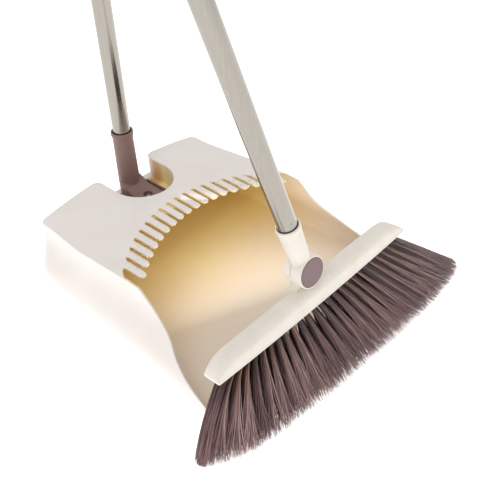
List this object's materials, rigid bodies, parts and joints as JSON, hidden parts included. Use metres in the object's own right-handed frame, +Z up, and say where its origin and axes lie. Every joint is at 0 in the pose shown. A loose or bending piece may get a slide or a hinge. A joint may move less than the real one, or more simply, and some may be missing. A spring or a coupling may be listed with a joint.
{
  "type": "dust pan and brush set",
  "caption": "Long-handled dust pan with a comb-toothed hood and screwed elbow, and an upright broom whose fanned bristle head swings on a hub.",
  "frame": {"origin": "on the floor under the middle of the pan's base", "axes": "+Z up along the pan's handle, +X across the pan to the right seen from the lip, +Y from the lip to the pan's back"},
  "size_m": [0.4076, 0.3568, 0.8384],
  "materials": {
    "cream_plastic": "warm cream moulded plastic, satin",
    "mauve_plastic": "mauve-brown moulded plastic, matte",
    "polished_tube": "polished stainless tube",
    "screw_steel": "plated screw steel",
    "bristle_fibre": "mauve-brown synthetic bristle, split tips"
  },
  "bodies": {
    "pan": {"pan_body": "cream_plastic", "elbow_bracket": "mauve_plastic", "elbow_screw": "screw_steel", "pan_thread_plug": "mauve_plastic", "pan_lower_tube": "polished_tube", "pan_tube_joiner": "mauve_plastic", "pan_upper_tube": "polished_tube", "broom_clip": "mauve_plastic", "pan_grip": "mauve_plastic"},
    "broom_handle": {"broom_socket": "cream_plastic", "hub_cap": "mauve_plastic", "pivot_washer": "screw_steel", "broom_thread_plug": "mauve_plastic", "broom_lower_tube": "polished_tube", "broom_tube_joiner": "mauve_plastic", "broom_upper_tube": "polished_tube", "broom_grip": "mauve_plastic"},
    "broom_head": {"head_cover": "cream_plastic", "pivot_screw": "screw_steel", "tuft_board": "cream_plastic", "bristles": "bristle_fibre"}
  },
  "joints": [
    {"name": "broom_lift", "type": "slide", "parent": "pan", "child": "broom_handle", "axis": [0, 0, 1], "range_m": [0, 0.15]},
    {"name": "head_swing", "type": "hinge", "parent": "broom_handle", "child": "broom_head", "pos_m": [-0.0348, -0.1584, 0.1214], "axis": [0.0482, 0.9857, -0.1613], "range_deg": [-100.2, 79.8]}
  ]
}
